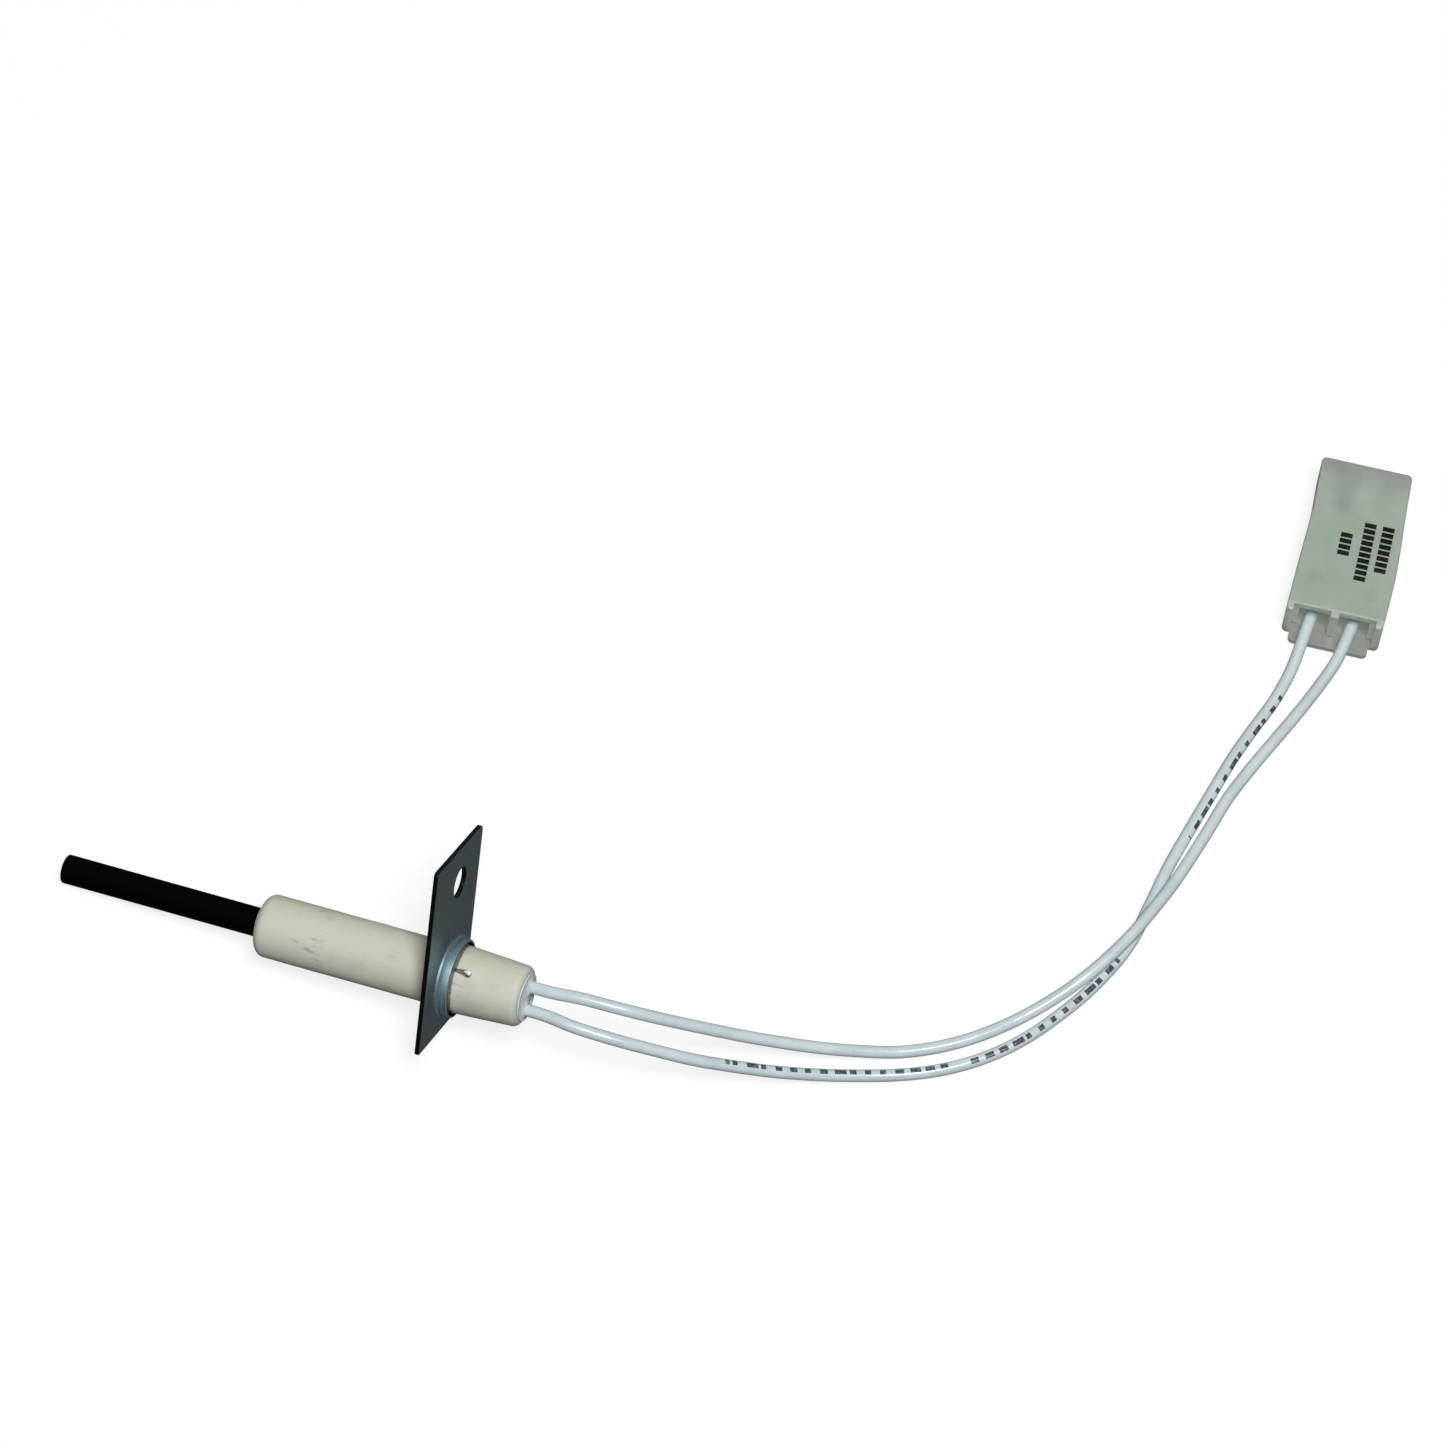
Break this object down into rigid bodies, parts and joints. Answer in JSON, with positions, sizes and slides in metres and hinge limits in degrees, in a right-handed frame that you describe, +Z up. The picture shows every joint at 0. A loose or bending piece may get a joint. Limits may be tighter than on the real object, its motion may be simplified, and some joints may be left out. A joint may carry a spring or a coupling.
{
  "type": "ignition electrode",
  "caption": "Hot-surface igniter: black heater rod in a ceramic holder clinched in a sheet-metal bracket, with white leads to a translucent plug housing.",
  "frame": {"origin": "on the surface the igniter lies on, under the centre of the bounding box of the igniter itself, without its leads and plug housing", "axes": "+Z up from the surface; +X over the surface along the igniter's axis, from the heater rod's tip towards the leads; the axis climbs 9.25 degrees towards +X because the part rests on the rod's tip and a corner of the bracket"},
  "size_m": [0.1804, 0.15, 0.0358],
  "materials": {
    "silicon_nitride": "black sintered silicon nitride, ground, satin",
    "ceramic": "cream unglazed technical ceramic",
    "set_bead": "glossy set bead",
    "cement": "whitish ceramic cement",
    "dark_zinc": "dark blue-green passivated zinc plate",
    "nickel": "nickel",
    "copper_tin": "tinned copper strand",
    "ptfe": "white PTFE insulation, waxy",
    "natural_nylon": "natural nylon, translucent",
    "tinned_brass": "tinned brass"
  },
  "bodies": {
    "root": {"heater_rod": "silicon_nitride", "ceramic_holder": "ceramic", "locking_dab": "set_bead", "front_cement": "cement", "rear_cement": "cement", "mounting_bracket": "dark_zinc", "electrode_cap_upper": "nickel", "electrode_cap_lower": "nickel", "splice_sleeve_upper": "nickel", "splice_sleeve_lower": "nickel", "conductor_upper_inner": "copper_tin", "conductor_lower_inner": "copper_tin", "conductor_upper_outer": "copper_tin", "conductor_lower_outer": "copper_tin", "lead_upper": "ptfe", "lead_lower": "ptfe", "connector_housing": "natural_nylon", "terminal_left": "tinned_brass", "terminal_right": "tinned_brass"}
  },
  "joints": []
}
